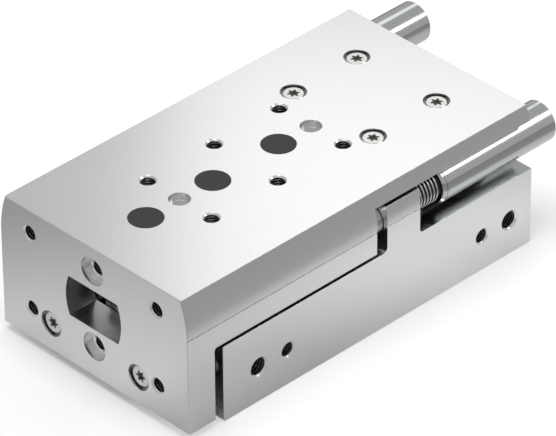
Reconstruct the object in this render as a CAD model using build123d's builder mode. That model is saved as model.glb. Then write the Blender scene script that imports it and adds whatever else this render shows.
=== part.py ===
from build123d import *
from math import asin, degrees, sqrt
import os

os.makedirs("parts", exist_ok=True)

# Frame: X to the right, Y to the rear, Z up, in millimetres. The origin is the centre of the
# base hole pattern, on the base face. The slide advances towards -Y; it is drawn retracted.

# Housing and slide, outer form
width = 59.0
housing_length = 95.8
deck_height = 19.8
table_top = 36.2
table_length = 106.0
table_thickness = 8.0
table_edge_thickness = 3.8
yoke_thickness = 7.9
yoke_gap = 2.6
yoke_lift = 1.8
crease_height = 26.4
flank_radius = 26.9
crease_width = 0.35
crease_depth = 0.3
edge_break = 0.2

# Slide side parts and the housing's raised blocks
block_side_gap = 0.5
skirt_length = 49.2
skirt_gap = 0.9
slot_width = 3.2
block_length = 10.2
block_top_gap = 0.9
stop_block_length = 6.1
block_foot_fillet = 1.3
pocket_fillet = 1.0
skirt_foot_fillet = 0.8
stroke = 50.0
stop_gap = 0.1

# Drive: two parallel cylinders
drive_height = 9.0
bore_offset = 13.9
bore_diameter = 10.0
piston_clearance = 0.05
rod_diameter = 5.0
rod_seat_depth = 2.0
stud_diameter = 4.0
seat_diameter = 11.2
front_seat_depth = 8.0
rear_seat_depth = 5.5
ring_thickness = 0.8
ring_inset = 0.3
ring_groove_depth = 0.4
ring_width = 1.4
ring_opening = 3.0
rod_seal_width = 1.6
rod_seal_height = 1.2
rod_seal_inset = 1.8
piston_length = 22.0
piston_seal_width = 1.6
piston_seal_height = 1.25
piston_seal_inset = 2.6
magnet_width = 4.0
magnet_height = 1.4
magnet_cover = 0.4
buffer_thickness = 1.0
buffer_diameter = 9.2
piston_end_room = 3.2
rear_seal_width = 1.5
rear_seal_height = 1.1
rear_seal_inset = 1.3
rod_clearance = 0.05
fit_gap = 0.02

# Ports and holes in the housing
port_diameter = 5.0
port_depth = 7.5
port_passage = 2.5
front_port_inset = 10.5
rear_port_inset = 7.1
side_thread_depth = 7.0
front_side_thread_inset = 19.3
rear_side_thread_inset = 15.9
front_pocket_diameter = 7.6
front_pocket_depth = 6.0
front_pocket_side_inset = 5.7
front_pocket_height = 13.0
front_pocket_chamfer = 0.3
sensor_slot_heights = (10.6, 15.4)
sensor_slot_opening = 2.6
sensor_slot_diameter = 3.8
sensor_slot_depth = 2.9
base_pattern_x = 48.0
grid_pitch = 20.0
base_thread_depth = 8.0

# Threads and centring holes, by nominal size
m2_diameter = 2.0
m3_diameter = 3.0
m4_diameter = 4.0
centring_diameter = 5.0
centring_depth = 2.0
table_thread_depth = 7.0
front_thread_depth = 6.9
front_pattern_x = 40.0
front_pattern_height = 20.0
front_centring_diameter = 7.0
front_centring_depth = 1.6
first_row_inset = 26.0
access_diameter = 8.1
first_access_inset = 16.0
access_count = 3
plug_thickness = 2.5

# Window through the yoke
window_bottom = 14.6
window_top = 25.0
window_half_width = 7.7
window_bulge = 1.05

# Screws
screw_clearance = 0.2
carriage_screw_head = 5.0
carriage_counterbore = 6.1
carriage_screw_recess = 0.4
rod_screw_head = 5.2
rod_counterbore = 6.4
rod_screw_recess = 0.6
low_head_height = 2.0
star_diameter = 2.5
star_depth = 1.1
head_chamfer = 0.2
rod_thread_depth = 8.0
thread_room = 1.0

# Guide: rail and ball carriage
guide_height = 16.0
rail_width = 15.0
rail_height = 10.0
rail_inset = 0.5
rail_chamfer = 0.4
rail_screw_count = 5
rail_counterbore = 6.0
rail_counterbore_depth = 4.5
rail_screw_hole = 3.5
rail_screw_head = 5.5
rail_screw_head_height = 3.0
rail_screw_grip = 5.0
rail_socket = 2.5
carriage_width = 32.0
carriage_lift = 4.0
carriage_body_length = 31.0
end_cap_length = 4.7
wiper_thickness = 0.8
wiper_rail_gap = 0.3
carriage_rail_gap = 0.4
cap_inset = 0.2
carriage_pattern_x = 25.0
carriage_pattern_y = 20.0
carriage_inset = 82.9
carriage_thread_depth = 4.0
channel_side_gap = 1.0
channel_floor_gap = 0.5
ball_diameter = 3.175
ball_facet_share = 0.863
ball_offset = 0.8
ball_height = 6.0
ball_pitch = 3.9
ball_count = 7
groove_clearance = 0.1
return_bore_diameter = 3.5
return_bore_x = 12.0
cap_screw_x = 11.8
cap_screw_height = 8.6
cap_screw_head = 3.6
cap_screw_head_height = 0.8
cap_screw_grip = 3.0

# Shock absorbers
absorber_side_gap = 0.3
absorber_height = 26.4
absorber_thread = 8.0
absorber_length = 57.2
sleeve_diameter = 10.0
sleeve_length = 35.9
sleeve_chamfer = 0.5
sleeve_groove_start = 0.9
sleeve_groove_width = 0.25
sleeve_groove_depth = 0.15
sleeve_end_wall = 5.0
undercut_width = 0.7
undercut_depth = 0.7
nose_chamfer = 0.3
mouth_diameter = 8.5
plunger_diameter = 3.0
plunger_length = 12.0
plunger_travel = 5.0
button_diameter = 4.8
button_thickness = 1.5
adjust_socket = 4.0
adjust_socket_depth = 3.0

# Places worked out from the sizes above
half_width = width / 2
sleeve_radius = sleeve_diameter / 2
absorber_offset = half_width - absorber_side_gap - sleeve_radius
web_half_width = absorber_offset - sleeve_radius - absorber_side_gap
block_inner = web_half_width + block_side_gap
housing_front = -housing_length / 2
housing_rear = housing_length / 2
yoke_rear = housing_front - yoke_gap
table_front = yoke_rear - yoke_thickness
edge_underside = table_top - table_edge_thickness
web_underside = table_top - table_thickness
skirt_bottom = deck_height + skirt_gap
skirt_end = yoke_rear + skirt_length
block_top = edge_underside - block_top_gap
retract_nose = skirt_end + stop_gap
retract_block_front = skirt_end + slot_width
nose_reach = retract_block_front - retract_nose
stop_face = housing_front + stop_block_length
advance_nose = stop_face + stroke + stop_gap
advance_block_front = advance_nose + nose_reach
flank_centre_x = half_width - flank_radius
flank_angle = degrees(asin((table_top - crease_height) / flank_radius))

bore_radius = bore_diameter / 2
rod_radius = rod_diameter / 2
seat_radius = seat_diameter / 2
rod_front = yoke_rear - rod_seat_depth
front_bush_start = housing_front + ring_inset + ring_thickness
front_bush_length = front_seat_depth - ring_inset - ring_thickness
rear_plug_start = housing_rear - rear_seat_depth
rear_plug_length = rear_seat_depth - ring_inset - ring_thickness
piston_rear = rear_plug_start - piston_end_room - buffer_thickness
piston_front = piston_rear - piston_length
piston_radius = bore_radius - piston_clearance

rail_seat = web_underside - guide_height
rail_top = rail_seat + rail_height
rail_front = housing_front + rail_inset
rail_length = housing_length - 2 * rail_inset
carriage_y = table_front + carriage_inset
carriage_body_front = carriage_y - carriage_body_length / 2
carriage_body_rear = carriage_body_front + carriage_body_length
carriage_bottom = rail_seat + carriage_lift
channel_floor = carriage_bottom - channel_floor_gap
channel_width = carriage_width + 2 * channel_side_gap
ball_x = rail_width / 2 + ball_offset
ball_z = rail_seat + ball_height
cap_screw_z = carriage_bottom + cap_screw_height
rail_screw_places = [
    (0, table_front + first_access_inset + step * grid_pitch)
    for step in range(rail_screw_count)
]
access_places = rail_screw_places[:access_count]
pattern_y = table_front + first_row_inset + grid_pitch
carriage_screw_places = [
    (side * carriage_pattern_x / 2, carriage_y + step * carriage_pattern_y / 2)
    for side in (-1, 1)
    for step in (-1, 1)
]


def section(y):
    """Plane across the part at y, seen from the front, with its normal towards -Y."""
    return Plane.XZ.offset(-y)


def rear_section(y):
    """Plane across the part at y, with its normal towards +Y."""
    return Plane(origin=(0, y, 0), x_dir=(-1, 0, 0), z_dir=(0, 1, 0))


right_side = Plane(origin=(half_width, 0, 0), x_dir=(0, 1, 0), z_dir=(1, 0, 0))
base_side = Plane(origin=(0, 0, 0), x_dir=(1, 0, 0), z_dir=(0, 0, -1))
bore_places = [(-bore_offset, drive_height), (bore_offset, drive_height)]
front_pattern_places = [
    (side * front_pattern_x / 2, front_pattern_height + step * grid_pitch / 2)
    for side in (-1, 1)
    for step in (-1, 1)
]
front_centring_places = [(0, front_pattern_height + step * grid_pitch / 2) for step in (-1, 1)]


# Common cross-section of housing and slide: flat sides below the crease, round flanks above
with BuildSketch() as full_section:
    with BuildLine():
        right_flank = CenterArc((flank_centre_x, crease_height), flank_radius, 0, flank_angle)
        left_flank = CenterArc((-flank_centre_x, crease_height), flank_radius, 180, -flank_angle)
        Line(right_flank @ 1, left_flank @ 1)
        Polyline(left_flank @ 0, (-half_width, 0), (half_width, 0), right_flank @ 0)
    make_face()


def body_section(y, left, right, bottom, top):
    """The common cross-section at y, cut down to a box."""
    with BuildSketch(section(y)) as cut:
        add(full_section.sketch)
        with Locations(((left + right) / 2, (bottom + top) / 2)):
            Rectangle(right - left, top - bottom, mode=Mode.INTERSECT)
    return cut.sketch


def crease_section(y):
    """The fine relief line along both flanks."""
    with BuildSketch(section(y)) as groove:
        with Locations((-half_width, crease_height), (half_width, crease_height)):
            Rectangle(2 * crease_depth, crease_width)
    return groove.sketch


def ring_section(y, places, outer, inner):
    """Round rings at the given places of the section at y."""
    with BuildSketch(section(y)) as ring:
        with Locations(*places):
            Circle(outer)
            Circle(inner, mode=Mode.SUBTRACT)
    return ring.sketch


def cross_edges(piece, height, y):
    """Edges of a piece that run across it, along X, at the given height and y."""
    level = piece.edges().filter_by(Axis.X)
    level = level.filter_by_position(Axis.Z, height - fit_gap, height + fit_gap)
    return level.filter_by_position(Axis.Y, y - fit_gap, y + fit_gap)


def recess_section(plane, places):
    """Recess of a star-recess screw head, drawn as a hexagon of the same size."""
    with BuildSketch(plane) as recess:
        with Locations(*places):
            RegularPolygon(star_diameter / 2, 6)
    return recess.sketch


# Housing: base body with the cylinders, the guide channel and the raised blocks
with BuildPart() as housing:
    extrude(
        body_section(housing_front, -half_width, half_width, 0, deck_height),
        amount=-housing_length,
    )
    extrude(
        body_section(retract_block_front, block_inner, half_width, 0, block_top),
        amount=-block_length,
    )
    extrude(
        body_section(housing_front, -half_width, -block_inner, 0, block_top),
        amount=-stop_block_length,
    )
    fillet(cross_edges(housing, deck_height, retract_block_front), block_foot_fillet)
    for foot in (retract_block_front + block_length, stop_face):
        fillet(cross_edges(housing, deck_height, foot), pocket_fillet)
    end_faces = housing.faces().sort_by(Axis.Y)
    for end_face in (end_faces[0], end_faces[-1]):
        chamfer(end_face.outer_wire().edges(), edge_break)

    # Guide channel with the rail seat
    with BuildSketch(section(housing_front)):
        with Locations((0, channel_floor)):
            Rectangle(channel_width, table_top, align=(Align.CENTER, Align.MIN))
        with Locations((0, rail_seat)):
            Rectangle(rail_width + 2 * fit_gap, table_top, align=(Align.CENTER, Align.MIN))
    extrude(amount=-housing_length, mode=Mode.SUBTRACT)

    # Cylinder bores with their seats and ring grooves at both ends
    with Locations(section(housing_front)):
        with Locations(*bore_places):
            CounterBoreHole(bore_radius, seat_radius, front_seat_depth, depth=housing_length)
    with Locations(rear_section(housing_rear)):
        with Locations(*bore_places):
            Hole(seat_radius, depth=rear_seat_depth)
    for ring_start in (housing_front + ring_inset, housing_rear - ring_inset - ring_thickness):
        extrude(
            ring_section(ring_start, bore_places, seat_radius + ring_groove_depth, bore_radius),
            amount=-ring_thickness,
            mode=Mode.SUBTRACT,
        )

    # Air ports, with passages to both cylinders, and the side threads
    with Locations(right_side):
        with Locations(
            (housing_front + front_port_inset, drive_height),
            (housing_rear - rear_port_inset, drive_height),
        ):
            Hole(port_diameter / 2, depth=port_depth)
            Hole(port_passage / 2, depth=half_width + bore_offset)
        with Locations(
            (housing_front + front_side_thread_inset, drive_height),
            (housing_rear - rear_side_thread_inset, drive_height),
        ):
            Hole(m4_diameter / 2, depth=side_thread_depth)

    # Round pocket in the front face
    with Locations(section(housing_front)):
        with Locations((half_width - front_pocket_side_inset, front_pocket_height)):
            CounterSinkHole(
                front_pocket_diameter / 2,
                front_pocket_diameter / 2 + front_pocket_chamfer,
                depth=front_pocket_depth,
                counter_sink_angle=90,
            )

    # Base pattern, base centring holes and rail screw threads
    with Locations(base_side):
        with GridLocations(base_pattern_x, 2 * grid_pitch, 2, 2):
            Hole(m4_diameter / 2, depth=base_thread_depth)
        with GridLocations(2 * grid_pitch, 2 * grid_pitch, 1, 2):
            Hole(centring_diameter / 2, depth=centring_depth)
    with Locations(Location((0, 0, rail_seat))):
        with Locations(*rail_screw_places):
            Hole(m3_diameter / 2, depth=rail_screw_grip)

    # Thread of the retract absorber
    with Locations(section(retract_block_front)):
        with Locations((absorber_offset, absorber_height)):
            CounterSinkHole(
                absorber_thread / 2,
                mouth_diameter / 2,
                depth=block_length,
                counter_sink_angle=90,
            )

    # Sensor slots along the left side
    with BuildSketch(section(housing_front)):
        for slot_height in sensor_slot_heights:
            with Locations((-half_width, slot_height)):
                Rectangle(2 * sensor_slot_depth, sensor_slot_opening)
            with Locations((sensor_slot_depth - half_width, slot_height)):
                Circle(sensor_slot_diameter / 2)
    extrude(amount=-housing_length, mode=Mode.SUBTRACT)

    extrude(crease_section(housing_front), amount=-housing_length, mode=Mode.SUBTRACT)
housing.part.label = "housing"
export_step(housing.part, "parts/housing.step")


# Slide: table plate, yoke, right skirt and left absorber block in one piece
with BuildPart() as slide_table:
    extrude(
        body_section(table_front, -half_width, half_width, yoke_lift, table_top),
        amount=-yoke_thickness,
    )
    extrude(
        body_section(table_front, -half_width, half_width, edge_underside, table_top),
        amount=-table_length,
    )
    extrude(
        body_section(table_front, -web_half_width, web_half_width, web_underside, table_top),
        amount=-table_length,
    )
    extrude(
        body_section(yoke_rear, web_half_width, half_width, skirt_bottom, table_top),
        amount=-skirt_length,
    )
    extrude(
        body_section(advance_block_front, -half_width, -web_half_width, skirt_bottom, table_top),
        amount=-block_length,
    )

    end_faces = slide_table.faces().sort_by(Axis.Y)
    for end_face in (end_faces[0], end_faces[-1]):
        chamfer(end_face.outer_wire().edges(), edge_break)
    fillet(cross_edges(slide_table, skirt_bottom, yoke_rear), skirt_foot_fillet)

    # Window through the yoke, with bulged sides
    with BuildSketch(section(table_front)):
        with BuildLine():
            window_middle = (window_bottom + window_top) / 2
            right_bulge = ThreePointArc(
                (window_half_width, window_bottom),
                (window_half_width + window_bulge, window_middle),
                (window_half_width, window_top),
            )
            left_bulge = ThreePointArc(
                (-window_half_width, window_bottom),
                (-window_half_width - window_bulge, window_middle),
                (-window_half_width, window_top),
            )
            Line(right_bulge @ 0, left_bulge @ 0)
            Line(right_bulge @ 1, left_bulge @ 1)
        make_face()
    extrude(amount=-yoke_thickness, mode=Mode.SUBTRACT)

    # Table pattern, centring holes and access holes
    with Locations(Location((0, pattern_y, table_top))):
        with GridLocations(grid_pitch, grid_pitch, 2, 3):
            Hole(m4_diameter / 2, depth=table_thread_depth)
        with GridLocations(grid_pitch, 2 * grid_pitch, 1, 2):
            Hole(centring_diameter / 2, depth=centring_depth)
    with Locations(Location((0, 0, table_top))):
        with Locations(*access_places):
            Hole(access_diameter / 2, depth=table_thickness)
    with Locations(Location((0, 0, table_top))):
        with Locations(*carriage_screw_places):
            CounterBoreHole(
                m3_diameter / 2 + screw_clearance,
                carriage_counterbore / 2,
                carriage_screw_recess + low_head_height,
                depth=table_thickness,
            )

    # Front pattern, front centring holes and rod screw holes
    with Locations(section(table_front)):
        with Locations(*front_pattern_places):
            Hole(m4_diameter / 2, depth=front_thread_depth)
        with Locations(*front_centring_places):
            CounterBoreHole(
                m4_diameter / 2,
                front_centring_diameter / 2,
                front_centring_depth,
                depth=front_thread_depth,
            )
        with Locations(*bore_places):
            CounterBoreHole(
                m3_diameter / 2 + screw_clearance,
                rod_counterbore / 2,
                rod_screw_recess + low_head_height,
                depth=yoke_thickness,
            )
    with Locations(rear_section(yoke_rear)):
        with Locations(*bore_places):
            Hole(rod_radius + fit_gap, depth=rod_seat_depth)

    # Thread of the advance absorber
    with Locations(section(advance_block_front)):
        with Locations((-absorber_offset, absorber_height)):
            CounterSinkHole(
                absorber_thread / 2,
                mouth_diameter / 2,
                depth=block_length,
                counter_sink_angle=90,
            )

    extrude(crease_section(table_front), amount=-table_length, mode=Mode.SUBTRACT)
slide_table.part.label = "slide_table"
export_step(slide_table.part, "parts/slide_table.step")


# Guide rail with a ball groove in each side
with BuildPart() as guide_rail:
    with BuildSketch(section(rail_front)):
        with Locations((0, rail_seat)):
            Rectangle(rail_width, rail_height, align=(Align.CENTER, Align.MIN))
        with Locations((-ball_x, ball_z), (ball_x, ball_z)):
            Circle(ball_diameter / 2 + groove_clearance, mode=Mode.SUBTRACT)
    extrude(amount=-rail_length)
    chamfer(guide_rail.faces().sort_by(Axis.Z)[-1].edges().filter_by(Axis.Y), rail_chamfer)
    with Locations(Location((0, 0, rail_top))):
        with Locations(*rail_screw_places):
            CounterBoreHole(
                rail_screw_hole / 2,
                rail_counterbore / 2,
                rail_counterbore_depth,
                depth=rail_height,
            )
guide_rail.part.label = "guide_rail"
export_step(guide_rail.part, "parts/guide_rail.step")


# Socket screws that hold the rail in its seat
with BuildPart() as rail_screws:
    head_seat = rail_top - rail_counterbore_depth
    with Locations(Location((0, 0, head_seat))):
        with Locations(*rail_screw_places):
            Cylinder(
                rail_screw_head / 2,
                rail_screw_head_height,
                align=(Align.CENTER, Align.CENTER, Align.MIN),
            )
            Cylinder(
                m3_diameter / 2 - fit_gap,
                head_seat - rail_seat + rail_screw_grip - fit_gap,
                align=(Align.CENTER, Align.CENTER, Align.MAX),
            )
    with BuildSketch(Plane.XY.offset(head_seat + rail_screw_head_height)):
        with Locations(*rail_screw_places):
            RegularPolygon(rail_socket / 2, 6, major_radius=False)
    extrude(amount=-rail_screw_head_height / 2, mode=Mode.SUBTRACT)
rail_screws.part.label = "rail_screws"
export_step(rail_screws.part, "parts/rail_screws.step")


def carriage_section(y, inset, rail_gap):
    """Outline of the carriage at y: a block that straddles the rail."""
    opening = rail_width + 2 * rail_gap
    with BuildSketch(section(y)) as saddle:
        with Locations((0, (carriage_bottom + web_underside) / 2)):
            Rectangle(carriage_width - 2 * inset, web_underside - carriage_bottom - 2 * inset)
        with Locations((0, 0)):
            Rectangle(opening, 2 * (rail_top + rail_gap), mode=Mode.SUBTRACT)
    return saddle.sketch


# Carriage block with ball raceways, return bores and threads
with BuildPart() as carriage_block:
    extrude(carriage_section(carriage_body_front, 0, carriage_rail_gap), amount=-carriage_body_length)
    with Locations(section(carriage_body_front)):
        with Locations((-ball_x, ball_z), (ball_x, ball_z)):
            Hole(ball_diameter / 2 + fit_gap, depth=carriage_body_length)
        with Locations((-return_bore_x, ball_z), (return_bore_x, ball_z)):
            Hole(return_bore_diameter / 2, depth=carriage_body_length)
        with Locations((-cap_screw_x, cap_screw_z), (cap_screw_x, cap_screw_z)):
            Hole(m2_diameter / 2, depth=cap_screw_grip)
    with Locations(rear_section(carriage_body_rear)):
        with Locations((-cap_screw_x, cap_screw_z), (cap_screw_x, cap_screw_z)):
            Hole(m2_diameter / 2, depth=cap_screw_grip)
    with Locations(Location((0, 0, web_underside))):
        with Locations(*carriage_screw_places):
            Hole(m3_diameter / 2, depth=carriage_thread_depth)
carriage_block.part.label = "carriage_block"
export_step(carriage_block.part, "parts/carriage_block.step")


# Load-carrying balls, seated in the carriage and running in the rail's grooves. Each one is
# drawn with 26 flat facets, and its corners lie on the real ball's surface.
ball_block = ball_diameter * ball_facet_share
with BuildPart() as guide_balls:
    with Locations(Location((0, carriage_y, ball_z))):
        with GridLocations(2 * ball_x, ball_pitch, 2, ball_count):
            Box(ball_block, ball_block, ball_block)
    chamfer(guide_balls.edges(), ball_block * (1 - sqrt(0.5)))
guide_balls.part.label = "guide_balls"
export_step(guide_balls.part, "parts/guide_balls.step")


# Plastic end caps and the wipers outside them, one of each at the front and the rear
front_cap_start = carriage_body_front - end_cap_length
cap_ends = {
    "front": (front_cap_start, front_cap_start - wiper_thickness),
    "rear": (carriage_body_rear, carriage_body_rear + end_cap_length),
}
for end, (cap_start, wiper_start) in cap_ends.items():
    with BuildPart() as end_cap:
        extrude(carriage_section(cap_start, cap_inset, carriage_rail_gap), amount=-end_cap_length)
        with Locations(section(cap_start)):
            with Locations((-cap_screw_x, cap_screw_z), (cap_screw_x, cap_screw_z)):
                Hole(m2_diameter / 2 + screw_clearance / 2, depth=end_cap_length)
    end_cap.part.label = f"carriage_end_cap_{end}"
    export_step(end_cap.part, f"parts/carriage_end_cap_{end}.step")

    with BuildPart() as wiper:
        extrude(carriage_section(wiper_start, 2 * cap_inset, wiper_rail_gap), amount=-wiper_thickness)
        with Locations(section(wiper_start)):
            with Locations((-cap_screw_x, cap_screw_z), (cap_screw_x, cap_screw_z)):
                Hole(m2_diameter / 2 + screw_clearance / 2, depth=wiper_thickness)
    wiper.part.label = f"carriage_wiper_{end}"
    export_step(wiper.part, f"parts/carriage_wiper_{end}.step")


# Screws through the wipers and end caps into the carriage block
cap_screw_length = wiper_thickness + end_cap_length + cap_screw_grip - fit_gap
with BuildPart() as end_cap_screws:
    for plane in (section(cap_ends["front"][1]), rear_section(cap_ends["rear"][1] + wiper_thickness)):
        with Locations(plane):
            with Locations((-cap_screw_x, cap_screw_z), (cap_screw_x, cap_screw_z)):
                Cylinder(
                    cap_screw_head / 2,
                    cap_screw_head_height,
                    align=(Align.CENTER, Align.CENTER, Align.MIN),
                )
                Cylinder(
                    m2_diameter / 2 - fit_gap,
                    cap_screw_length,
                    align=(Align.CENTER, Align.CENTER, Align.MAX),
                )
end_cap_screws.part.label = "end_cap_screws"
export_step(end_cap_screws.part, "parts/end_cap_screws.step")


# Star-recess screws that hold the table on the carriage
head_bottom = table_top - carriage_screw_recess - low_head_height
with BuildPart() as carriage_screws:
    with Locations(Location((0, 0, head_bottom))):
        with Locations(*carriage_screw_places):
            Cylinder(
                carriage_screw_head / 2,
                low_head_height,
                align=(Align.CENTER, Align.CENTER, Align.MIN),
            )
            Cylinder(
                m3_diameter / 2 - fit_gap,
                head_bottom - web_underside + carriage_thread_depth - fit_gap,
                align=(Align.CENTER, Align.CENTER, Align.MAX),
            )
    chamfer(carriage_screws.edges().group_by(Axis.Z)[-1], head_chamfer)
    extrude(
        recess_section(Plane.XY.offset(head_bottom + low_head_height), carriage_screw_places),
        amount=-star_depth,
        mode=Mode.SUBTRACT,
    )
carriage_screws.part.label = "carriage_screws"
export_step(carriage_screws.part, "parts/carriage_screws.step")


# Black plugs, flush in the access holes
with BuildPart() as hole_plugs:
    with Locations(Location((0, 0, table_top))):
        with Locations(*access_places):
            Cylinder(
                access_diameter / 2 - fit_gap,
                plug_thickness,
                align=(Align.CENTER, Align.CENTER, Align.MAX),
            )
hole_plugs.part.label = "hole_plugs"
export_step(hole_plugs.part, "parts/hole_plugs.step")


# Star-recess screws that hold the yoke on the rods
rod_head_rear = table_front + rod_screw_recess + low_head_height
rod_screw_front = rod_head_rear - low_head_height
with BuildPart() as rod_screws:
    with Locations(section(rod_head_rear)):
        with Locations(*bore_places):
            Cylinder(
                rod_screw_head / 2,
                low_head_height,
                align=(Align.CENTER, Align.CENTER, Align.MIN),
            )
            Cylinder(
                m3_diameter / 2 - fit_gap,
                rod_front - rod_head_rear + rod_thread_depth - thread_room,
                align=(Align.CENTER, Align.CENTER, Align.MAX),
            )
    chamfer(rod_screws.edges().group_by(Axis.Y)[0], head_chamfer)
    extrude(recess_section(section(rod_screw_front), bore_places), amount=-star_depth, mode=Mode.SUBTRACT)
rod_screws.part.label = "rod_screws"
export_step(rod_screws.part, "parts/rod_screws.step")


# The pieces of each cylinder: rod, piston, bush and rear plug
for side, place in zip(("left", "right"), bore_places):
    with BuildPart() as piston_rod:
        with BuildSketch(section(rod_front)):
            with Locations(place):
                Circle(rod_radius)
        extrude(amount=rod_front - piston_front)
        with BuildSketch(section(piston_front)):
            with Locations(place):
                Circle(stud_diameter / 2)
        extrude(amount=piston_front - piston_rear)
        with Locations(section(rod_front)):
            with Locations(place):
                Hole(m3_diameter / 2, depth=rod_thread_depth)
    piston_rod.part.label = f"piston_rod_{side}"
    export_step(piston_rod.part, f"parts/piston_rod_{side}.step")

    with BuildPart() as piston:
        extrude(
            ring_section(piston_front, [place], piston_radius, stud_diameter / 2 + fit_gap),
            amount=-piston_length,
        )
        for seal_start in (
            piston_front + piston_seal_inset,
            piston_rear - piston_seal_inset - piston_seal_width,
        ):
            extrude(
                ring_section(seal_start, [place], bore_radius, piston_radius - piston_seal_height),
                amount=-piston_seal_width,
                mode=Mode.SUBTRACT,
            )
        extrude(
            ring_section(
                (piston_front + piston_rear - magnet_width) / 2,
                [place],
                bore_radius,
                piston_radius - magnet_cover - magnet_height,
            ),
            amount=-magnet_width,
            mode=Mode.SUBTRACT,
        )
    piston.part.label = f"piston_{side}"
    export_step(piston.part, f"parts/piston_{side}.step")

    with BuildPart() as rod_bush:
        extrude(
            ring_section(front_bush_start, [place], seat_radius - fit_gap, rod_radius + rod_clearance),
            amount=-front_bush_length,
        )
        extrude(
            ring_section(
                front_bush_start + rod_seal_inset,
                [place],
                rod_radius + rod_clearance + rod_seal_height,
                rod_radius,
            ),
            amount=-rod_seal_width,
            mode=Mode.SUBTRACT,
        )
    rod_bush.part.label = f"rod_bush_{side}"
    export_step(rod_bush.part, f"parts/rod_bush_{side}.step")

    with BuildPart() as rear_plug:
        with BuildSketch(section(rear_plug_start)):
            with Locations(place):
                Circle(seat_radius - fit_gap)
        extrude(amount=-rear_plug_length)
        extrude(
            ring_section(
                rear_plug_start + rear_seal_inset,
                [place],
                seat_radius,
                seat_radius - fit_gap - rear_seal_height,
            ),
            amount=-rear_seal_width,
            mode=Mode.SUBTRACT,
        )
    rear_plug.part.label = f"rear_plug_{side}"
    export_step(rear_plug.part, f"parts/rear_plug_{side}.step")


# Rings that come in pairs or more: seals, magnets and buffers
with BuildPart() as piston_seals:
    for seal_start in (piston_front + piston_seal_inset, piston_rear - piston_seal_inset - piston_seal_width):
        extrude(
            ring_section(seal_start, bore_places, piston_radius, piston_radius - piston_seal_height),
            amount=-piston_seal_width,
        )
piston_seals.part.label = "piston_seals"
export_step(piston_seals.part, "parts/piston_seals.step")

with BuildPart() as piston_magnets:
    magnet_outer = piston_radius - magnet_cover
    extrude(
        ring_section(
            (piston_front + piston_rear - magnet_width) / 2,
            bore_places,
            magnet_outer,
            magnet_outer - magnet_height,
        ),
        amount=-magnet_width,
    )
piston_magnets.part.label = "piston_magnets"
export_step(piston_magnets.part, "parts/piston_magnets.step")

with BuildPart() as piston_buffers:
    extrude(
        ring_section(
            piston_front - buffer_thickness,
            bore_places,
            buffer_diameter / 2,
            rod_radius + fit_gap,
        ),
        amount=-buffer_thickness,
    )
    with BuildSketch(section(piston_rear)):
        with Locations(*bore_places):
            Circle(buffer_diameter / 2)
    extrude(amount=-buffer_thickness)
piston_buffers.part.label = "piston_buffers"
export_step(piston_buffers.part, "parts/piston_buffers.step")

with BuildPart() as rod_seals:
    extrude(
        ring_section(
            front_bush_start + rod_seal_inset,
            bore_places,
            rod_radius + rod_clearance + rod_seal_height,
            rod_radius + rod_clearance,
        ),
        amount=-rod_seal_width,
    )
rod_seals.part.label = "rod_seals"
export_step(rod_seals.part, "parts/rod_seals.step")

with BuildPart() as rear_plug_seals:
    extrude(
        ring_section(
            rear_plug_start + rear_seal_inset,
            bore_places,
            seat_radius - fit_gap,
            seat_radius - fit_gap - rear_seal_height,
        ),
        amount=-rear_seal_width,
    )
rear_plug_seals.part.label = "rear_plug_seals"
export_step(rear_plug_seals.part, "parts/rear_plug_seals.step")


# Open retaining rings that hold the bushes and the rear plugs in their seats
ring_starts = {
    "front": housing_front + ring_inset,
    "rear": housing_rear - ring_inset - ring_thickness,
}
for end, ring_start in ring_starts.items():
    with BuildPart() as retaining_rings:
        ring_outer = seat_radius + ring_groove_depth - fit_gap
        with BuildSketch(section(ring_start)):
            with Locations(*bore_places):
                Circle(ring_outer)
                Circle(ring_outer - ring_width, mode=Mode.SUBTRACT)
                Rectangle(ring_opening, ring_outer, align=(Align.CENTER, Align.MAX), mode=Mode.SUBTRACT)
        extrude(amount=-ring_thickness)
    retaining_rings.part.label = f"{end}_retaining_rings"
    export_step(retaining_rings.part, f"parts/{end}_retaining_rings.step")


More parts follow.
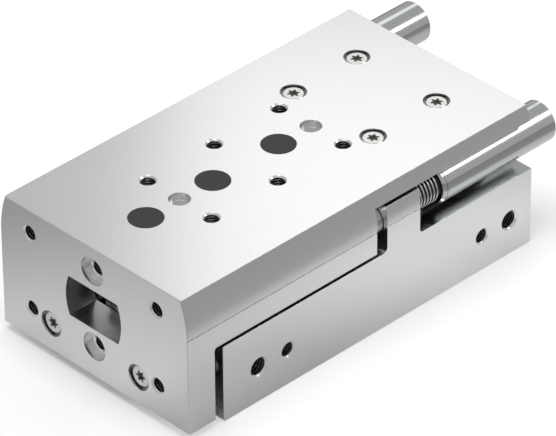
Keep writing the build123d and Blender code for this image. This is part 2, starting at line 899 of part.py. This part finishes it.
# Shock absorbers: threaded stem with its plunger, and the sleeve screwed over its rear
stem_radius = absorber_thread / 2 - fit_gap
sleeve_start = absorber_length - sleeve_length
sleeve_inside = absorber_length - sleeve_end_wall
groove_end = sleeve_groove_start + sleeve_groove_width
button_radius = button_diameter / 2
plunger_radius = plunger_diameter / 2
absorbers = {
    "retract": (absorber_offset, retract_nose, 0),
    "advance": (-absorber_offset, advance_nose, plunger_travel),
}
for end, (x, nose, reach) in absorbers.items():
    lengthwise = Plane(origin=(x, nose, absorber_height), x_dir=(1, 0, 0), z_dir=(0, 0, 1))
    absorber_axis = Axis((x, nose, absorber_height), (0, 1, 0))

    with BuildPart() as absorber_body:
        with BuildSketch(lengthwise):
            with BuildLine():
                Polyline(
                    (0, plunger_length + fit_gap),
                    (plunger_radius + rod_clearance, plunger_length + fit_gap),
                    (plunger_radius + rod_clearance, button_thickness + fit_gap),
                    (button_radius + rod_clearance, button_thickness + fit_gap),
                    (button_radius + rod_clearance, 0),
                    (stem_radius - nose_chamfer, 0),
                    (stem_radius, nose_chamfer),
                    (stem_radius, sleeve_start - undercut_width),
                    (stem_radius - undercut_depth, sleeve_start - undercut_width),
                    (stem_radius - undercut_depth, sleeve_start),
                    (stem_radius, sleeve_start),
                    (stem_radius, sleeve_inside),
                    (0, sleeve_inside),
                    close=True,
                )
            make_face()
        revolve(axis=absorber_axis)
    absorber_body.part.label = f"{end}_absorber_body"
    export_step(absorber_body.part, f"parts/{end}_absorber_body.step")

    with BuildPart() as absorber_sleeve:
        with BuildSketch(lengthwise):
            with BuildLine():
                Polyline(
                    (stem_radius + fit_gap, sleeve_start),
                    (sleeve_radius - sleeve_chamfer, sleeve_start),
                    (sleeve_radius, sleeve_start + sleeve_chamfer),
                    (sleeve_radius, sleeve_start + sleeve_groove_start),
                    (sleeve_radius - sleeve_groove_depth, sleeve_start + sleeve_groove_start),
                    (sleeve_radius - sleeve_groove_depth, sleeve_start + groove_end),
                    (sleeve_radius, sleeve_start + groove_end),
                    (sleeve_radius, absorber_length - nose_chamfer),
                    (sleeve_radius - nose_chamfer, absorber_length),
                    (0, absorber_length),
                    (0, sleeve_inside),
                    (stem_radius + fit_gap, sleeve_inside),
                    close=True,
                )
            make_face()
        revolve(axis=absorber_axis)
        with BuildSketch(rear_section(nose + absorber_length)):
            with Locations((-x, absorber_height)):
                RegularPolygon(adjust_socket / 2, 6, major_radius=False)
        extrude(amount=-adjust_socket_depth, mode=Mode.SUBTRACT)
    absorber_sleeve.part.label = f"{end}_absorber_sleeve"
    export_step(absorber_sleeve.part, f"parts/{end}_absorber_sleeve.step")

    with BuildPart() as plunger:
        with BuildSketch(section(nose - reach)):
            with Locations((x, absorber_height)):
                Circle(button_radius)
        extrude(amount=-button_thickness)
        with BuildSketch(section(nose - reach)):
            with Locations((x, absorber_height)):
                Circle(plunger_radius)
        extrude(amount=-plunger_length)
    plunger.part.label = f"{end}_plunger"
    export_step(plunger.part, f"parts/{end}_plunger.step")
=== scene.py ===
# Compact pneumatic slide table: an aluminium housing with two cylinders and a ball guide, an
# L-shaped aluminium slide, and two screw-in shock absorbers. Metres; slide retracted.
import math

import bmesh
import bpy
from mathutils import Matrix, Vector


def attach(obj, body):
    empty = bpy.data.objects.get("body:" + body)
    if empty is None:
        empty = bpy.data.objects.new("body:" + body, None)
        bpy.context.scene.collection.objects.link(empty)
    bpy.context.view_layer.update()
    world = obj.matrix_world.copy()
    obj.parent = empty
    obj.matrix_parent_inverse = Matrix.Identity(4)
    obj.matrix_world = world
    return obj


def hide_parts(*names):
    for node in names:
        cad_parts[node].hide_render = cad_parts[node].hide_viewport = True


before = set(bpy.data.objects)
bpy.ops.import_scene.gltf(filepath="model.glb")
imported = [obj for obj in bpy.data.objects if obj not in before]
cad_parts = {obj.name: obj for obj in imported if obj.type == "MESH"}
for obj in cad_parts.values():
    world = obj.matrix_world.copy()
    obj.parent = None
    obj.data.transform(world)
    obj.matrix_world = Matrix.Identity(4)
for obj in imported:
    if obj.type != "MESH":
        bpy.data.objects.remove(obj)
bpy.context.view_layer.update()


# Camera, at the photograph's place: about 35 degrees above and 46 degrees to the right of the
# slide's front, 1.2 m away, with a long lens.
azimuth = math.radians(45.8567)
elevation = math.radians(34.9212)
roll = math.radians(-0.4518)
look_at = Vector((0, -0.0034, 0.0168))
distance, rightwards, upwards = 1.196043, 0.0004836, 0.0000487
back = Vector((
    math.sin(azimuth) * math.cos(elevation),
    -math.cos(azimuth) * math.cos(elevation),
    math.sin(elevation),
))
level = Vector((math.cos(azimuth), math.sin(azimuth), 0))
upright = back.cross(level)
right = level * math.cos(roll) + upright * math.sin(roll)
up = upright * math.cos(roll) - level * math.sin(roll)
eye = look_at + back * distance + right * rightwards + up * upwards
camera = bpy.data.objects.new("camera", bpy.data.cameras.new("camera"))
camera.data.lens = 349.49
camera.data.sensor_width = 36
camera.matrix_world = Matrix((
    (right.x, up.x, back.x, eye.x),
    (right.y, up.y, back.y, eye.y),
    (right.z, up.z, back.z, eye.z),
    (0, 0, 0, 1),
))
bpy.context.scene.collection.objects.link(camera)
bpy.context.scene.camera = camera
bpy.context.scene.view_settings.view_transform = "Standard"


# Studio: a pale room with three soft lamps over white paper: one overhead, one behind on the left
# that the table mirrors, and one behind on the right that streaks the absorbers. The camera sees
# room and paper white. Metal mirrors a grey room, and paper with a painted pool of light that fades
# away from the object and a painted shadow beside the yoke.
def add_node(tree, kind, links=(), inputs=(), **settings):
    """Adds a node: settings are its own, inputs its sockets' values, links its sockets' sources."""
    node = tree.nodes.new(kind)
    for name, value in settings.items():
        setattr(node, name, value)
    for name, value in dict(inputs).items():
        node.inputs[name].default_value = value
    for name, source in dict(links).items():
        tree.links.new(source, node.inputs[name])
    return node


white = (1, 1, 1, 1)
world = bpy.data.worlds.new("studio")
bpy.context.scene.world = world
world.use_nodes = True
tree = world.node_tree
tree.nodes.clear()
path = add_node(tree, "ShaderNodeLightPath")
grey_room = add_node(tree, "ShaderNodeBackground", inputs={"Color": white, "Strength": 0.6})
white_room = add_node(tree, "ShaderNodeBackground", inputs={"Color": white, "Strength": 1})
room = add_node(tree, "ShaderNodeMixShader", {
    "Fac": path.outputs["Is Camera Ray"], 1: grey_room.outputs[0], 2: white_room.outputs[0]})
add_node(tree, "ShaderNodeOutputWorld", {"Surface": room.outputs[0]})

# the paper, 6 m square, lies 0.1 mm below the base, so that the two don't share a plane
bm = bmesh.new()
bmesh.ops.create_grid(
    bm, x_segments=1, y_segments=1, size=3, matrix=Matrix.Translation((0, 0, -0.0001)))
floor = bpy.data.objects.new("floor", bpy.data.meshes.new("floor"))
bm.to_mesh(floor.data)
bm.free()
bpy.context.scene.collection.objects.link(floor)
white_paper_with_painted_light = bpy.data.materials.new("white_paper_with_painted_light")
white_paper_with_painted_light.use_nodes = True
tree = white_paper_with_painted_light.node_tree
tree.nodes.clear()
path = add_node(tree, "ShaderNodeLightPath")
place = add_node(tree, "ShaderNodeTexCoord").outputs["Object"]
# a painted pool of light: the paper's colour darkens outwards over an oval, from half its reach to
# its reach of 100 mm to each side and 130 mm to front and rear, and sooner on the right, from x =
# 55 to 70 mm
oval_x, oval_reach_x, oval_reach_y = 0.010, 0.100, 0.130
right_start, right_end = 0.055, 0.070
oval = add_node(tree, "ShaderNodeMapping", {"Vector": place}, {
    "Location": (-oval_x / oval_reach_x, 0, 0),
    "Scale": (1 / oval_reach_x, 1 / oval_reach_y, 1)})
oval_fade = add_node(
    tree, "ShaderNodeTexGradient", {"Vector": oval.outputs[0]}, gradient_type="SPHERICAL")
near = add_node(tree, "ShaderNodeMapRange", {"Value": oval_fade.outputs["Fac"]}, {
    "From Min": 0.0, "From Max": 0.5})
across = add_node(tree, "ShaderNodeSeparateXYZ", {"Vector": place})
inside = add_node(tree, "ShaderNodeMapRange", {"Value": across.outputs["X"]}, {
    "From Min": right_end, "From Max": right_start})
pool = add_node(
    tree, "ShaderNodeMath", {0: near.outputs[0], 1: inside.outputs[0]}, operation="MULTIPLY")
pale = add_node(tree, "ShaderNodeMapRange", {"Value": pool.outputs[0]}, {
    "To Min": 0.38, "To Max": 0.92})
# a painted shadow: the paper's colour is darker in an oval beside the yoke, which reaches 30 mm to
# each side and 70 mm to front and rear of its middle
patch_x, patch_y, patch_reach_x, patch_reach_y = 0.034, -0.045, 0.030, 0.070
painted_shadow_patch = add_node(tree, "ShaderNodeMapping", {"Vector": place}, {
    "Location": (-patch_x / patch_reach_x, -patch_y / patch_reach_y, 0),
    "Scale": (1 / patch_reach_x, 1 / patch_reach_y, 1)})
painted_shadow_fade = add_node(
    tree, "ShaderNodeTexGradient", {"Vector": painted_shadow_patch.outputs[0]}, gradient_type="SPHERICAL")
painted_shadow_factor = add_node(tree, "ShaderNodeMapRange", {"Value": painted_shadow_fade.outputs["Fac"]}, {
    "From Min": 0.0, "From Max": 0.6, "To Min": 1.0, "To Max": 0.66})
# painted light and shade: the pool's colour times the painted shadow
tone = add_node(
    tree, "ShaderNodeMath", {0: pale.outputs[0], 1: painted_shadow_factor.outputs[0]}, operation="MULTIPLY")
# what its tone lacks to white is added for the camera alone, so that the lamps' shadow stays
fill = add_node(
    tree, "ShaderNodeMath", {1: tone.outputs[0]}, {0: 1.05}, operation="SUBTRACT")
seen = add_node(tree, "ShaderNodeMath", {
    0: path.outputs["Is Camera Ray"], 1: fill.outputs[0]}, operation="MULTIPLY")
lit = add_node(tree, "ShaderNodeBsdfDiffuse", {"Color": tone.outputs[0]})
glow = add_node(tree, "ShaderNodeEmission", {"Strength": seen.outputs[0]}, {"Color": white})
both = add_node(tree, "ShaderNodeAddShader", {0: lit.outputs[0], 1: glow.outputs[0]})
add_node(tree, "ShaderNodeOutputMaterial", {"Surface": both.outputs[0]})
floor.data.materials.append(white_paper_with_painted_light)

lamps = {
    # place, size in metres, power in watts
    "overhead_lamp": ((0, -0.08, 0.55), 0.30, 1.25),
    "rear_left_lamp": ((-0.207, 0.247, 0.292), 0.14, 0.056),
    "rear_right_lamp": ((0.29, 0.34, 0.40), 0.18, 0.37),
}
for name, (spot, size, power) in lamps.items():
    lamp = bpy.data.objects.new(name, bpy.data.lights.new(name, "AREA"))
    lamp.data.size = size
    lamp.data.energy = power
    lamp.location = spot
    lamp.rotation_euler = (look_at - Vector(spot)).to_track_quat("-Z", "Y").to_euler()
    bpy.context.scene.collection.objects.link(lamp)


# Housing: milled from drawn aluminium, blasted and clear anodised. That gives a satin grey metal
# with edges broken by 0.1 mm. Its grain is drawn at 0.3 mm, coarser than real, so that it shows.
# Its air ports, side holes and base holes are tapped, and painted shade darkens the threads'
# flanks.
def linear(hex_colour):
    """An sRGB hex colour as linear red, green, blue and alpha."""
    parts = [int(hex_colour[i:i + 2], 16) / 255 for i in (1, 3, 5)]
    return [c / 12.92 if c <= 0.04045 else ((c + 0.055) / 1.055) ** 2.4 for c in parts] + [1]


def start_material(name, colour, metallic):
    """A material in one colour, with its node tree, its shader and the piece's coordinates."""
    material = bpy.data.materials.new(name)
    material.use_nodes = True
    tree = material.node_tree
    shader = tree.nodes["Principled BSDF"]
    shader.inputs["Base Color"].default_value = linear(colour)
    shader.inputs["Metallic"].default_value = metallic
    return material, tree, shader, add_node(tree, "ShaderNodeTexCoord").outputs["Object"]


def satin_aluminium(name, colour, roughness):
    """Blasted and clear anodised aluminium: satin, with no direction in its grain."""
    grain_size, broken_edge = 0.0003, 0.0001
    material, tree, shader, place = start_material(name, colour, 1)
    grain = add_node(tree, "ShaderNodeTexNoise", {"Vector": place}, {
        "Scale": 1 / grain_size, "Detail": 3, "Roughness": 0.6})
    spread = add_node(tree, "ShaderNodeMapRange", {"Value": grain.outputs["Fac"]}, {
        "From Min": 0.3, "From Max": 0.7, "To Min": roughness - 0.03, "To Max": roughness + 0.03})
    tree.links.new(spread.outputs["Result"], shader.inputs["Roughness"])
    edges = add_node(tree, "ShaderNodeBevel", inputs={"Radius": broken_edge}, samples=4)
    bump = add_node(tree, "ShaderNodeBump", {
        "Height": grain.outputs["Fac"], "Normal": edges.outputs["Normal"]}, {
        "Strength": 0.03, "Distance": 0.00002})
    tree.links.new(bump.outputs["Normal"], shader.inputs["Normal"])
    return material


def dress(material, *nodes):
    """Gives CAD nodes their material."""
    for node in nodes:
        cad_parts[node].data.materials.clear()
        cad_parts[node].data.materials.append(material)


def finish_piece(bm, name, material, body, smooth_below=40):
    """Makes a shaped bmesh an object that rides on a body, smooth except at edges over an angle."""
    bmesh.ops.recalc_face_normals(bm, faces=bm.faces[:])
    piece = bpy.data.objects.new(name, bpy.data.meshes.new(name))
    bm.to_mesh(piece.data)
    bm.free()
    piece.data.shade_smooth()
    piece.data.set_sharp_from_angle(angle=math.radians(smooth_below))
    piece.data.materials.append(material)
    bpy.context.scene.collection.objects.link(piece)
    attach(piece, body)
    return piece


def stand(bm, verts, spot, outward):
    """Moves a shape made round Z at the origin to a spot, with its +Z end pointing outward."""
    turn = Vector((0, 0, 1)).rotation_difference(Vector(outward)).to_matrix().to_4x4()
    bmesh.ops.transform(bm, matrix=Matrix.Translation(spot) @ turn, verts=verts)


def spin_ridge(bm, profile, pitch, turns, steps=24):
    """Winds a ridge section of radii and heights into a helix down Z. Its flanks are in slot 1."""
    before = set(bm.faces)
    ridge = bm.faces.new([bm.verts.new((radius, 0, height)) for radius, height in profile])
    bmesh.ops.spin(bm, geom=[ridge], cent=(0, 0, 0), axis=(0, 0, 1), dvec=(0, 0, -pitch / steps),
                   angle=2 * math.pi * turns, steps=int(steps * turns))
    foot, shoulder = profile[0][0], profile[1][0]
    for face in bm.faces:
        rise = min(abs(v.co.xy.length - foot) for v in face.verts)
        if face not in before and rise < 0.99 * abs(shoulder - foot):
            face.material_index = 1


def spin_ring(bm, profile, steps=48):
    """Turns a closed section, given as radius and height, into a ring round Z."""
    corners = [bm.verts.new((radius, 0, height)) for radius, height in profile]
    loop = [bm.edges.new((corners[i - 1], corners[i])) for i in range(len(corners))]
    bmesh.ops.spin(bm, geom=corners + loop, cent=(0, 0, 0), axis=(0, 0, 1),
                   angle=2 * math.pi, steps=steps, use_merge=True)


def tapped_thread(bm, spot, outward, size, pitch, depth):
    """The ridge of a metric thread on the wall of a drilled hole, and the chamfer at its mouth."""
    before = set(bm.verts)
    wall = size / 2 + 0.00002
    crest = size / 2 - 0.54 * pitch
    chamfer = wall - crest
    spin_ridge(bm, [
        (wall, -chamfer),
        (crest, -chamfer - 0.31 * pitch),
        (crest, -chamfer - 0.56 * pitch),
        (wall, -chamfer - 0.87 * pitch),
    ], pitch, math.floor((depth - chamfer) / pitch) - 1)
    spin_ring(bm, [(wall, -0.00001), (wall, -chamfer), (crest, -chamfer)])
    stand(bm, [v for v in bm.verts if v not in before], spot, outward)


housing_aluminium = satin_aluminium("anodised_aluminium_housing", "#DEDFDF", 0.21)
dress(housing_aluminium, "housing")
m4 = {"size": 0.004, "pitch": 0.0007}
m5 = {"size": 0.005, "pitch": 0.0008}
side_face, side_row = 0.0295, 0.009
bm = bmesh.new()
for y in (-0.0286, 0.0320):
    tapped_thread(bm, (side_face, y, side_row), (1, 0, 0), **m4, depth=0.007)
for y in (-0.0374, 0.0408):
    tapped_thread(bm, (side_face, y, side_row), (1, 0, 0), **m5, depth=0.0075)
for x in (-0.024, 0.024):
    for y in (-0.020, 0.020):
        tapped_thread(bm, (x, y, 0), (0, 0, -1), **m4, depth=0.008)
threads = finish_piece(bm, "housing_threads", housing_aluminium, "housing")
# painted shade: this darker metal stands in for the shade deep in tapped holes and the stems' bores
thread_painted_shade, tree, shader, place = start_material("cut_thread_painted_shade", "#4E4E4C", 1)
shade_roughness_mottle = add_node(tree, "ShaderNodeTexNoise", {"Vector": place}, {"Scale": 1 / 0.0005, "Detail": 2})
mottled_roughness = add_node(tree, "ShaderNodeMapRange", {"Value": shade_roughness_mottle.outputs["Fac"]}, {
    "From Min": 0.3, "From Max": 0.7, "To Min": 0.2, "To Max": 0.4})
tree.links.new(mottled_roughness.outputs["Result"], shader.inputs["Roughness"])
threads.data.materials.append(thread_painted_shade)


# Slide: table, front yoke and side skirt milled from one aluminium block, with the housing's
# finish. Six M4 holes in the table, four in the yoke's corners and one in each of the yoke's two
# centring holes are tapped.
slide_aluminium = satin_aluminium("anodised_aluminium_slide", "#DEDFDF", 0.24)
dress(slide_aluminium, "slide_table")
table_top, yoke_front, centring_floor = 0.0362, -0.0584, -0.0568
bm = bmesh.new()
for x in (-0.010, 0.010):
    for y in (-0.0324, -0.0124, 0.0076):
        tapped_thread(bm, (x, y, table_top), (0, 0, 1), **m4, depth=0.007)
for z in (0.010, 0.030):
    for x in (-0.020, 0.020):
        tapped_thread(bm, (x, yoke_front, z), (0, -1, 0), **m4, depth=0.0069)
    tapped_thread(bm, (0, centring_floor, z), (0, -1, 0), **m4, depth=0.0053)
threads = finish_piece(bm, "slide_threads", slide_aluminium, "slide")
threads.data.materials.append(thread_painted_shade)


# Hole plugs: three flat discs of black moulded plastic pressed into the table's access holes. The
# mould's fine texture makes them matt. It is drawn at 0.2 mm, coarser than real, so that it shows.
def moulded(name, colour, roughness, grain=0.0003, strength=0.1):
    """Moulded plastic, rubber or ferrite in one colour, with the mould's fine texture."""
    material, tree, shader, place = start_material(name, colour, 0)
    shader.inputs["Roughness"].default_value = roughness
    texture = add_node(tree, "ShaderNodeTexNoise", {"Vector": place}, {
        "Scale": 1 / grain, "Detail": 2})
    bump = add_node(tree, "ShaderNodeBump", {"Height": texture.outputs["Fac"]}, {
        "Strength": strength, "Distance": 0.00003})
    tree.links.new(bump.outputs["Normal"], shader.inputs["Normal"])
    return material


dress(moulded("black_moulded_plastic", "#1C1D1D", 0.5, 0.0002, 0.15), "hole_plugs")


# Star-recess screws: low round heads, zinc-plated and bright, in counterbores: four hold the table
# on the guide carriage and two hold the yoke on the piston rods. The six-lobed recess is 1 mm deep
# and duller than the head, and its darker colour is painted shade.
def plain_metal(name, colour, roughness, lines=None):
    """A metal in one colour. With lines, turning or grinding marks lie across that axis."""
    material, tree, shader, place = start_material(name, colour, 1)
    # marks are drawn 0.15 mm apart and 25 mm long, coarser than real, so that they show; without
    # a direction, plating mottles over about 0.8 mm
    spacing, length, mottle = 0.00015, 0.025, 0.0008
    if lines:
        scale = [1 / (spacing if axis == lines else length) for axis in "XYZ"]
    else:
        scale = [1 / mottle] * 3
    stretch = add_node(tree, "ShaderNodeMapping", {"Vector": place}, {"Scale": scale})
    marks = add_node(tree, "ShaderNodeTexNoise", {"Vector": stretch.outputs[0]}, {
        "Scale": 1, "Detail": 2})
    spread = add_node(tree, "ShaderNodeMapRange", {"Value": marks.outputs["Fac"]}, {
        "From Min": 0.3, "From Max": 0.7, "To Min": roughness * 0.9, "To Max": roughness * 1.1})
    tree.links.new(spread.outputs["Result"], shader.inputs["Roughness"])
    bump = add_node(tree, "ShaderNodeBump", {"Height": marks.outputs["Fac"]}, {
        "Strength": 0.02, "Distance": 0.00001})
    tree.links.new(bump.outputs["Normal"], shader.inputs["Normal"])
    return material


def star_screw(bm, spot, outward, head, length, height=0.002, recess=0.003, shank=0.00296):
    """A low screw: a chamfered head with a star recess in slot 1, and a plain shank below."""
    before = set(bm.verts)
    chamfer = 0.0002
    rim = bmesh.ops.create_circle(bm, segments=48, radius=head / 2 - chamfer)["verts"]
    star = bmesh.ops.create_circle(bm, segments=48, radius=recess / 2)["verts"]
    for v in star:
        lobe = math.cos(6 * math.atan2(v.co.y, v.co.x))
        v.co *= 0.80 + 0.20 * lobe
    rim_edges = list({e for v in rim for e in v.link_edges})
    star_edges = list({e for v in star for e in v.link_edges})
    bmesh.ops.bridge_loops(bm, edges=rim_edges + star_edges)
    # the recess goes in two steps to 1 mm deep, the rim round the chamfer, head and shank; each
    # step scales the edges by a factor and moves them by a height
    for slot, edges, steps in (
        (1, star_edges, ((0.94, -0.0001), (0.94, -0.0009))),
        (0, rim_edges, (
            ((head / 2) / (head / 2 - chamfer), -chamfer),
            (1, chamfer - height),
            (shank / head, 0),
            (1, height - length),
        )),
    ):
        for factor, drop in steps:
            grown = bmesh.ops.extrude_edge_only(bm, edges=edges)["geom"]
            verts = [g for g in grown if isinstance(g, bmesh.types.BMVert)]
            edges = [g for g in grown if isinstance(g, bmesh.types.BMEdge)]
            bmesh.ops.scale(bm, vec=(factor, factor, 1), verts=verts)
            bmesh.ops.translate(bm, vec=(0, 0, drop), verts=verts)
            for e in edges:
                for face in e.link_faces:
                    face.material_index = slot
        bmesh.ops.edgeloop_fill(bm, edges=edges, mat_nr=slot)
    stand(bm, [v for v in bm.verts if v not in before], spot, outward)


zinc_steel = plain_metal("zinc_plated_steel", "#D2D2CF", 0.26)
# painted shade: the metal in the recess is darker than the head's
painted_shade_recess = plain_metal("steel_recess_painted_shade", "#A6A6A4", 0.45)
carriage_heads, rod_heads, rod_height = 0.0358, -0.0578, 0.009
bm = bmesh.new()
for x in (-0.0125, 0.0125):
    for y in (0.0145, 0.0345):
        star_screw(bm, (x, y, carriage_heads), (0, 0, 1), head=0.005, length=0.01158)
screws = finish_piece(bm, "carriage_star_screws", zinc_steel, "slide", 30)
screws.data.materials.append(painted_shade_recess)
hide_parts("carriage_screws")
bm = bmesh.new()
for x in (-0.0139, 0.0139):
    star_screw(bm, (x, rod_heads, rod_height), (0, -1, 0), head=0.0052, length=0.0123)
screws = finish_piece(bm, "rod_star_screws", zinc_steel, "slide", 30)
screws.data.materials.append(painted_shade_recess)
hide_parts("rod_screws")
dress(zinc_steel, "rail_screws", "end_cap_screws")


# Shock absorbers: a threaded steel stem, M8 x 1, screwed through its block, and a ground and
# nickel-plated sleeve of 10 mm behind it. The nose of each stem is plain, and an undercut ends
# its thread in front of the sleeve.
ground_steel = plain_metal("ground_nickel_steel", "#BFC2C1", 0.15, "Y")
dress(ground_steel, "retract_absorber_sleeve", "advance_absorber_sleeve")
thread_steel = plain_metal("turned_nickel_steel", "#BFC1C0", 0.2)
absorber_height, stem_end, stem_pitch = 0.0264, -0.0522, 0.001
crest, shoulder, core, foot, undercut = 0.00396, 0.0039, 0.0034, 0.00336, 0.0032
bore, button, closed = 0.00155, 0.00245, 0.00001
for end, x, nose, body in (
    ("retract", 0.0242, -0.0012, "housing"),
    ("advance", -0.0242, 0.0083, "slide"),
):
    bm = bmesh.new()
    # bored for the plunger's button and shank, closed behind
    spin_ring(bm, [
        (closed, -0.01202), (bore, -0.01202), (bore, -0.00152), (button, -0.00152),
        (button, 0), (crest - 0.0003, 0), (crest, -0.0003), (crest, -0.0031), (core, -0.0036),
        (core, -0.0207), (undercut, -0.0209), (undercut, -0.0213), (crest, -0.0213),
        (crest, stem_end), (closed, stem_end),
    ])
    # painted shade darkens all that lies no further out than the core
    for face in bm.faces:
        if max(v.co.xy.length for v in face.verts) < core + 0.0001:
            face.material_index = 1
    spin_ridge(bm, [
        (foot, -0.00369), (shoulder, -0.00397), (crest, -0.00405), (crest, -0.00431),
        (shoulder, -0.00439), (foot, -0.00467),
    ], stem_pitch, 16.5, 48)
    stand(bm, bm.verts[:], (x, nose, absorber_height), (0, -1, 0))
    stem = finish_piece(bm, f"{end}_threaded_stem", thread_steel, body)
    stem.data.materials.append(thread_painted_shade)
    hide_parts(f"{end}_absorber_body")
dress(plain_metal("hardened_steel", "#BEBEBC", 0.22), "retract_plunger", "advance_plunger")


# Guide: a hardened and ground steel rail and carriage block with chrome steel balls between them,
# black plastic end caps and rubber wipers.
guide_steel = plain_metal("ground_bearing_steel", "#B4B5B4", 0.25, "X")
dress(guide_steel, "guide_rail", "carriage_block")
ball_steel = plain_metal("polished_chrome_steel", "#D9D9D9", 0.06)
carriage_middle, ball_height, ball_spacing, ball_radius = 0.0245, 0.0182, 0.0039, 0.0015875
bm = bmesh.new()
for x in (-0.0083, 0.0083):
    for step in range(-3, 4):
        ball = bmesh.ops.create_icosphere(bm, subdivisions=3, radius=ball_radius)["verts"]
        spot = (x, carriage_middle + ball_spacing * step, ball_height)
        bmesh.ops.translate(bm, vec=spot, verts=ball)
balls = finish_piece(bm, "ball_rows", ball_steel, "slide")
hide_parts("guide_balls")
acetal = moulded("acetal_end_cap", "#2A2D2F", 0.42)
dress(acetal, "carriage_end_cap_front", "carriage_end_cap_rear")
nitrile = moulded("nitrile_rubber", "#161616", 0.6)
dress(nitrile, "carriage_wiper_front", "carriage_wiper_rear")


# Cylinders: hard-chromed rods in bronze bushes, turned aluminium pistons and rear plugs, rubber
# seals and buffers, sintered ring magnets, and phosphated spring-steel retaining rings.
dress(plain_metal("hard_chrome_rod", "#D4D4D4", 0.1), "piston_rod_left", "piston_rod_right")
dress(plain_metal("turned_bronze", "#A98252", 0.32, "Y"), "rod_bush_left", "rod_bush_right")
turned_aluminium = plain_metal("turned_aluminium", "#C9CACB", 0.3, "Y")
dress(turned_aluminium, "piston_left", "piston_right", "rear_plug_left", "rear_plug_right")
dress(nitrile, "rod_seals", "piston_seals", "rear_plug_seals", "piston_buffers")
dress(moulded("sintered_ferrite", "#2C2C2E", 0.7), "piston_magnets")
spring_steel = plain_metal("phosphated_spring_steel", "#4A4A48", 0.4)
dress(spring_steel, "front_retaining_rings", "rear_retaining_rings")
